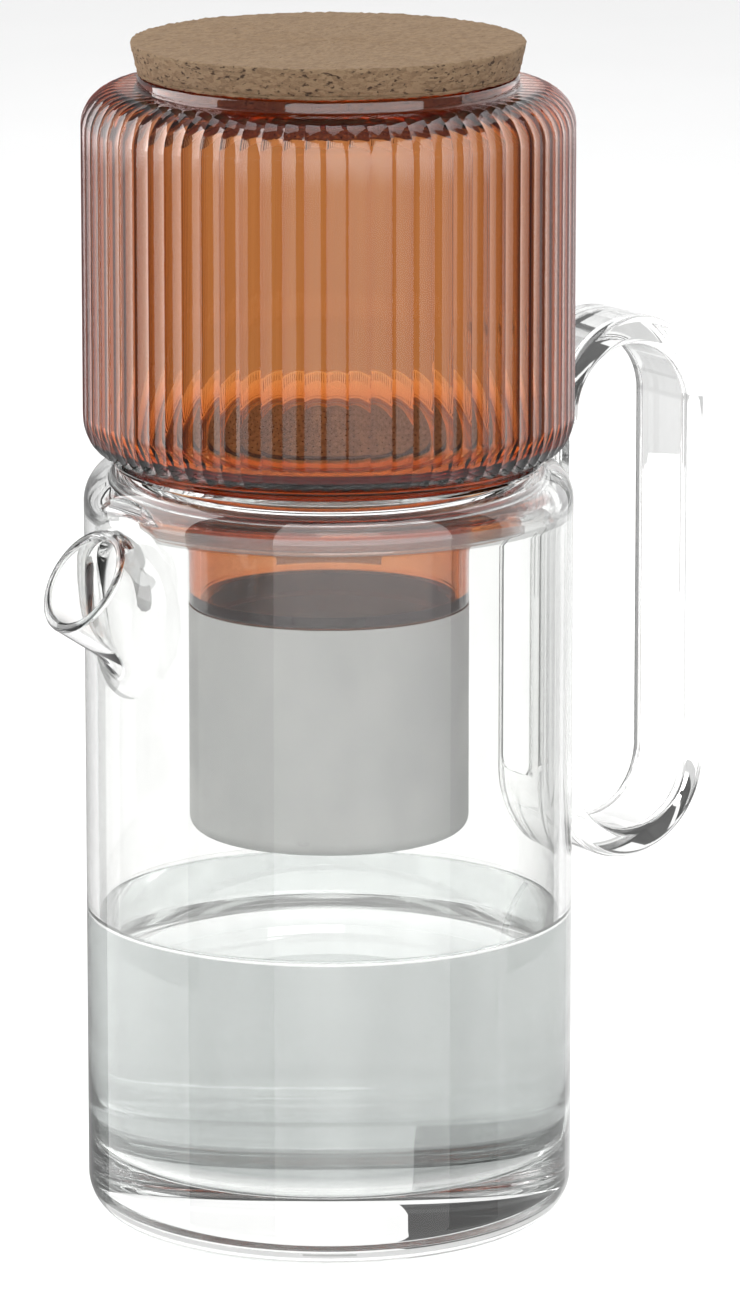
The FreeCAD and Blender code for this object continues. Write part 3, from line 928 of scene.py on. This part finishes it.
    def spout_bore(self, sizes):
        """The funnel-shaped hole from inside the carafe out through the spout's rounded rim."""
        lip_radius = sizes.spout_bore + sizes.spout_lip
        lip = arc_corners(lip_radius, HAIR - sizes.spout_lip, sizes.spout_lip, 180, 90, 8)
        return self.spout_skin("spout_bore", sizes, sizes.spout_bore,
                               sizes.radius - sizes.wall, [
                                   *lip,
                                   (lip_radius, sizes.spout_lip, 0),
                                   (0, sizes.spout_lip, 0),
                               ])


class COFFEE_OT_chamber(bpy.types.Operator):
    """Models the ribbed amber brewing chamber with the neck under it"""
    bl_idname = "coffee.chamber"
    bl_label = "Ribbed chamber"

    def execute(self, context):
        settings = context.scene.coffee_maker
        sizes = settings.chamber
        seat = settings.carafe.step_height + sizes.seat_gap
        bottom = CHAMBER_LOW.z
        bore = sizes.radius - sizes.wall
        inner_round = sizes.corner_round - sizes.wall
        mouth_bore = sizes.mouth_radius - sizes.mouth_wall
        tube_bore = sizes.tube_radius - sizes.tube_wall
        spigot_bore = sizes.spigot_radius - sizes.spigot_wall
        skirt_bore = sizes.skirt_radius - sizes.skirt_wall
        tube_bottom = NECK_LOW.z + sizes.spigot_length
        plate_bottom = bottom + sizes.wall - sizes.plate
        collar_bore = sizes.collar_top_radius - sizes.collar_wall
        skirt_bottom = settings.carafe.step_height - sizes.skirt_length + sizes.seat_gap
        edge = sizes.edge_round
        vessel = turned("amber_vessel", [
            (spigot_bore, NECK_LOW.z, edge),
            (sizes.spigot_radius, NECK_LOW.z, edge),
            (sizes.spigot_radius, tube_bottom, 0),
            (sizes.tube_radius, tube_bottom, edge),
            (sizes.tube_radius, plate_bottom, edge),
            (collar_bore, plate_bottom, edge),
            (collar_bore, seat + sizes.collar_wall, edge),
            (skirt_bore, seat + sizes.collar_wall, edge),
            (skirt_bore, skirt_bottom, edge),
            (sizes.skirt_radius - edge / 2, skirt_bottom, edge),
            (sizes.skirt_radius - edge / 2, seat, edge / 2),
            (sizes.collar_radius, seat, edge),
            (sizes.collar_top_radius, bottom, sizes.collar_cove),
            (sizes.radius - HAIR, bottom, sizes.corner_round),
            (sizes.radius - HAIR, sizes.top, sizes.corner_round),
            (sizes.mouth_radius, sizes.top, edge),
            (sizes.mouth_radius, CHAMBER_HIGH.z - HAIR, sizes.mouth_round),
            (mouth_bore, CHAMBER_HIGH.z - HAIR, sizes.mouth_round),
            (mouth_bore, sizes.top - sizes.wall, edge),
            (bore, sizes.top - sizes.wall, inner_round),
            (bore, bottom + sizes.wall, inner_round),
            (tube_bore, bottom + sizes.wall - HAIR, edge),
            (tube_bore, tube_bottom + sizes.tube_wall, edge),
            (spigot_bore, tube_bottom, edge),
        ], sizes.rib_count * sizes.steps_per_rib, closed=True)
        self.press_ribs(vessel, sizes, bottom)
        polish(vessel, 30)
        finish_piece(vessel, amber_glass(settings.finishes), "chamber",
                     ("ribbed_chamber", "chamber_neck"))
        return {"FINISHED"}

    def press_ribs(self, vessel, sizes, bottom):
        """Presses hollow flutes into the outer skin, dying out towards mouth and collar."""
        corner = sizes.radius - sizes.corner_round
        skin = sizes.corner_round - sizes.wall / 2
        for vertex in vessel.data.vertices:
            place = vertex.co
            reach = math.hypot(place.x, place.y)
            above = place.z - (sizes.top - sizes.corner_round)
            below = bottom + sizes.corner_round - place.z
            rise = max(above, below, 0.0)
            out = max(reach - corner, 0.0)
            off_skin = math.hypot(out, rise) < skin or rise > sizes.corner_round + HAIR
            if off_skin or reach < sizes.mouth_radius + HAIR:
                continue
            if above > below:
                strength = smoothstep(sizes.mouth_radius, sizes.rib_fade_top, reach)
            else:
                strength = smoothstep(sizes.collar_top_radius, sizes.rib_fade_bottom, reach)
            phase = math.atan2(place.y, place.x) / (2 * math.pi) * sizes.rib_count % 1.0
            depth = sizes.rib_height * strength * (1 - (2 * phase - 1) ** 2)
            span = math.hypot(out, rise)
            upright = math.copysign(rise / span, above - below)
            scale = 1 - depth * out / span / reach
            vertex.co = (place.x * scale, place.y * scale, place.z - depth * upright)


class COFFEE_OT_lid(bpy.types.Operator):
    """Models the tapered cork lid with its plug and the groove that holds its seal"""
    bl_idname = "coffee.lid"
    bl_label = "Cork lid"

    def execute(self, context):
        settings = context.scene.coffee_maker
        sizes = settings.lid
        seal_top = sizes.seat_height - sizes.seal_drop + sizes.seal_section / 2
        seal_bottom = seal_top - sizes.seal_section
        line = sizes.seat_height + sizes.groove_height
        taper = (sizes.top_radius - sizes.seat_radius) / (CORK_HIGH.z - sizes.seat_height)
        line_radius = sizes.seat_radius + taper * sizes.groove_height
        half_line = sizes.groove_depth * 0.6
        cork = draw_outline("cork_disc", [
            (0, CORK_LOW.z + sizes.pit_depth, 0),
            (sizes.plug_radius, CORK_LOW.z + sizes.pit_depth, sizes.plug_edge),
            (sizes.plug_radius, seal_bottom, 0),
            (sizes.seal_groove_radius, seal_bottom, 0),
            (sizes.seal_groove_radius, seal_top, 0),
            (sizes.plug_radius, seal_top, 0),
            (sizes.plug_radius, sizes.seat_height + HAIR, 0),
            (sizes.seat_radius, sizes.seat_height + HAIR, sizes.top_edge / 2),
            (line_radius, line - half_line, 0),
            (line_radius - sizes.groove_depth, line, 0),
            (line_radius, line + half_line, 0),
            (sizes.top_radius, CORK_HIGH.z, sizes.top_edge),
            (0, CORK_HIGH.z, 0),
        ], closed=False)
        divide_long_edges(cork, sizes.ring_spacing,
                          lambda place: place.z > sizes.seat_height + sizes.groove_height)
        spin_outline(cork, sizes.steps)
        press_pits(cork, "Granule seams", "VORONOI", sizes.grain * 0.8, sizes.pit_depth)
        press_pits(cork, "Pores", "CLOUDS", sizes.grain * 0.45, sizes.pit_depth)
        for vertex in cork.data.vertices:
            vertex.co.z = min(vertex.co.z, CORK_HIGH.z)
        polish(cork, 50)
        finish_piece(cork, pressed_cork(settings.finishes, sizes), "lid",
                     ("cork_lid",))
        return {"FINISHED"}


class COFFEE_OT_water(bpy.types.Operator):
    """Fills the carafe with water up to its level, with a raised edge against the glass"""
    bl_idname = "coffee.water"
    bl_label = "Water"

    def execute(self, context):
        settings = context.scene.coffee_maker
        sizes = settings.water
        carafe = settings.carafe
        bore = carafe.radius - carafe.wall
        side = bore + sizes.wetting
        floor = carafe.floor_thickness - sizes.wetting
        edge = arc_corners(bore - sizes.climb, sizes.level + sizes.climb, sizes.climb, -90, 0, 8)
        water = turned("water", [
            (0, floor, 0),
            (side, floor, carafe.floor_round + sizes.wetting),
            (side, sizes.level + sizes.climb, 0),
            *reversed(edge),
            (0, sizes.level, 0),
        ], carafe.steps)
        polish(water, 32)
        look = water_surface(settings.finishes, sizes.level, carafe.floor_thickness)
        finish_piece(water, look, "carafe")
        return {"FINISHED"}


class COFFEE_OT_steel(bpy.types.Operator):
    """Finishes the filter cup and the drip plate in steel"""
    bl_idname = "coffee.steel"
    bl_label = "Filter cup and drip plate"

    def execute(self, context):
        finishes = context.scene.coffee_maker.finishes
        mesh = filter_steel(finishes, "Filter mesh", round_the_cup=True)
        dish = filter_steel(finishes, "Filter dish", round_the_cup=False)
        dress_nodes(mesh, "filter_sleeve", "filter_rim")
        dress_nodes(dish, "filter_base")
        dress_nodes(satin_steel(finishes), "drip_plate")
        return {"FINISHED"}


class COFFEE_OT_seals(bpy.types.Operator):
    """Finishes the three silicone rings"""
    bl_idname = "coffee.seals"
    bl_label = "Silicone seals"

    def execute(self, context):
        finishes = context.scene.coffee_maker.finishes
        dress_nodes(soft_silicone(finishes), "mouth_seal", "filter_seal", "lid_seal")
        return {"FINISHED"}


# ---------------------------------------------------------------------------
# Stage
# ---------------------------------------------------------------------------

class COFFEE_OT_stage(bpy.types.Operator):
    """Sets the camera, the pale floor, the soft lamps and the cards that the glass mirrors"""
    bl_idname = "coffee.stage"
    bl_label = "Stage"

    def execute(self, context):
        stage = context.scene.coffee_maker.stage
        self.towards = Vector((math.sin(stage.view_turn), -math.cos(stage.view_turn), 0))
        self.right = Vector((-self.towards.y, self.towards.x, 0))
        self.camera(context, stage)
        self.floor()
        self.room(context, stage)
        for softbox in SOFTBOXES:
            self.softbox(stage, *softbox)
        for card in MIRRORED_CARDS:
            self.card(stage, *card)
        for sheet in SHEETS_BEHIND:
            self.glow_sheet(*sheet)
        context.scene.view_settings.view_transform = "Standard"
        context.scene.cycles.max_bounces = 32
        context.scene.cycles.glossy_bounces = 24
        context.scene.cycles.transmission_bounces = 28
        context.scene.cycles.transparent_max_bounces = 32
        return {"FINISHED"}

    def place(self, turn, distance, height):
        """A point at a turn in degrees from the camera's side, positive to its right."""
        angle = math.radians(turn)
        level = self.towards * math.cos(angle) + self.right * math.sin(angle)
        return level * distance + Vector((0, 0, height))

    def camera(self, context, stage):
        deselect_everything()
        place = self.towards * stage.view_distance + Vector((0, 0, stage.view_height))
        aim = self.right * stage.aim_right + Vector((0, 0, stage.aim_height))
        turn = (aim - place).to_track_quat("-Z", "Y").to_euler()
        bpy.ops.object.camera_add(location=place, rotation=turn)
        camera = bpy.context.object
        camera.name = "camera"
        camera.data.lens = stage.lens
        camera.data.clip_start = 0.05
        context.scene.camera = camera

    def floor(self):
        deselect_everything()
        below = -0.05 * MM
        bpy.ops.mesh.primitive_circle_add(vertices=96, radius=9.0, fill_type="NGON",
                                          location=(0, 0, below))
        floor = bpy.context.object
        floor.name = "floor"
        material, tree, shader, _ = new_material("Pale floor")
        mottle = noise(tree, object_place(tree), 9.0, 3.0)
        tone = mix_colours(tree, mottle, rgba([0.93] * 3), rgba([0.90] * 3))
        set_inputs(tree, shader, {"Base Color": tone, "Roughness": 0.5,
                                  "Specular IOR Level": 0.08})
        floor.data.materials.append(material)
        floor.visible_glossy = False

    def room(self, context, stage):
        """Soft light all round; seen directly, mirrored or through glass the room is white."""
        world = bpy.data.worlds.new("Room")
        context.scene.world = world
        world.use_nodes = True
        tree = world.node_tree
        path = add_node(tree, "ShaderNodeLightPath").outputs
        up = add_node(tree, "ShaderNodeSeparateXYZ",
                      {0: add_node(tree, "ShaderNodeTexCoord").outputs["Generated"]})
        ceiling = spread(tree, up.outputs["Z"], 0.62, 0.86)
        above = compute(tree, "MULTIPLY", ceiling, path["Is Glossy Ray"])
        mirrored = mix_colours(tree, above, rgba([1.12] * 3), (0.4, 0.4, 0.41, 1))
        seen = compute(tree, "MAXIMUM", path["Is Glossy Ray"], path["Is Transmission Ray"])
        soft = tree.nodes["Background"]
        set_inputs(tree, soft, {"Color": rgba([1] * 3), "Strength": stage.room_level})
        shown = add_node(tree, "ShaderNodeBackground", {"Color": mirrored, "Strength": 1.0})
        white = add_node(tree, "ShaderNodeBackground", {"Color": rgba([1] * 3),
                                                        "Strength": 1.0})
        inner = add_node(tree, "ShaderNodeMixShader", {0: seen, 1: soft.outputs[0],
                                                       2: shown.outputs[0]})
        outer = add_node(tree, "ShaderNodeMixShader", {0: path["Is Camera Ray"],
                                                       1: inner.outputs[0],
                                                       2: white.outputs[0]})
        tree.links.new(outer.outputs[0], tree.nodes["World Output"].inputs["Surface"])

    def softbox(self, stage, name, turn, elevation, distance, size, power):
        deselect_everything()
        rise = math.radians(elevation)
        place = self.place(turn, distance * math.cos(rise),
                           distance * math.sin(rise) + stage.lamp_base)
        aim = Vector((0, 0, stage.lamp_aim)) - place
        bpy.ops.object.light_add(type="AREA", location=place,
                                 rotation=aim.to_track_quat("-Z", "Y").to_euler())
        lamp = bpy.context.object
        lamp.name = name
        lamp.data.shape = "SQUARE"
        lamp.data.size = size
        lamp.data.energy = power

    def card(self, stage, name, start, end, low, middle, high):
        """An upright card round the object that only mirrored light can see."""
        card = self.curved_sheet(name, start, end, (stage.card_distance, stage.card_bottom),
                                 (stage.card_distance, stage.card_top))
        tree = card.data.materials[0].node_tree
        height = along_axes(tree)["Z"]
        lower = spread(tree, height, -50 * MM, 30 * MM, low, middle)
        upper = spread(tree, height, 105 * MM, 115 * MM, 0.0, high - middle)
        set_inputs(tree, tree.nodes["Glow"], {"Strength": compute(tree, "ADD", lower, upper)})
        card.visible_transmission = False

    def glow_sheet(self, name, start, end, first, last, level):
        """A sheet that only light through the glass can see."""
        card = self.curved_sheet(name, start, end, first, last)
        tree = card.data.materials[0].node_tree
        set_inputs(tree, tree.nodes["Glow"], {"Strength": level})
        card.visible_glossy = False

    def curved_sheet(self, name, start, end, first, last):
        """Turns an edge between two (distance, height) points from one turn to another."""
        deselect_everything()
        near = self.place(start, *first)
        far = self.place(start, *last)
        bpy.ops.mesh.primitive_plane_add(size=MM)
        card = bpy.context.object
        card.name = name
        bpy.ops.object.mode_set(mode="EDIT")
        bpy.ops.mesh.merge(type="CENTER")
        bpy.ops.transform.translate(value=near)
        bpy.ops.mesh.extrude_region_move(TRANSFORM_OT_translate={"value": far - near})
        bpy.ops.mesh.select_all(action="SELECT")
        bpy.ops.mesh.spin(steps=24, angle=-math.radians(end - start), center=(0, 0, 0),
                          axis=(0, 0, 1))
        bpy.ops.object.mode_set(mode="OBJECT")
        material, tree, shader, output = new_material(name)
        tree.nodes.remove(shader)
        glow = add_node(tree, "ShaderNodeEmission", {"Color": (1, 1, 1, 1)})
        glow.name = "Glow"
        tree.links.new(glow.outputs[0], output.inputs["Surface"])
        card.data.materials.append(material)
        card.visible_camera = False
        card.visible_diffuse = False
        card.visible_shadow = False
        return card


# ---------------------------------------------------------------------------
# Panel, registration and the order of work
# ---------------------------------------------------------------------------

PIECES = (COFFEE_OT_carafe, COFFEE_OT_water, COFFEE_OT_chamber, COFFEE_OT_steel,
          COFFEE_OT_seals, COFFEE_OT_lid, COFFEE_OT_stage)


class COFFEE_PT_panel(bpy.types.Panel):
    """Lists the pieces of the coffee maker in the order they are made"""
    bl_idname = "COFFEE_PT_panel"
    bl_label = "Coffee Maker"
    bl_space_type = "VIEW_3D"
    bl_region_type = "UI"
    bl_category = "Coffee Maker"

    def draw(self, context):
        for piece in PIECES:
            self.layout.operator(piece.bl_idname)


CLASSES = (CarafeSizes, ChamberSizes, LidSizes, WaterSizes, Finishes, StageSettings,
           CoffeeMakerSettings, *PIECES, COFFEE_PT_panel)


def register():
    for each in CLASSES:
        bpy.utils.register_class(each)
    bpy.types.Scene.coffee_maker = PointerProperty(type=CoffeeMakerSettings)


def unregister():
    del bpy.types.Scene.coffee_maker
    for each in reversed(CLASSES):
        bpy.utils.unregister_class(each)


def main():
    register()
    bpy.ops.coffee.carafe()
    bpy.ops.coffee.water()
    bpy.ops.coffee.chamber()
    bpy.ops.coffee.steel()
    bpy.ops.coffee.seals()
    bpy.ops.coffee.lid()
    bpy.ops.coffee.stage()


if __name__ == "__main__":
    main()
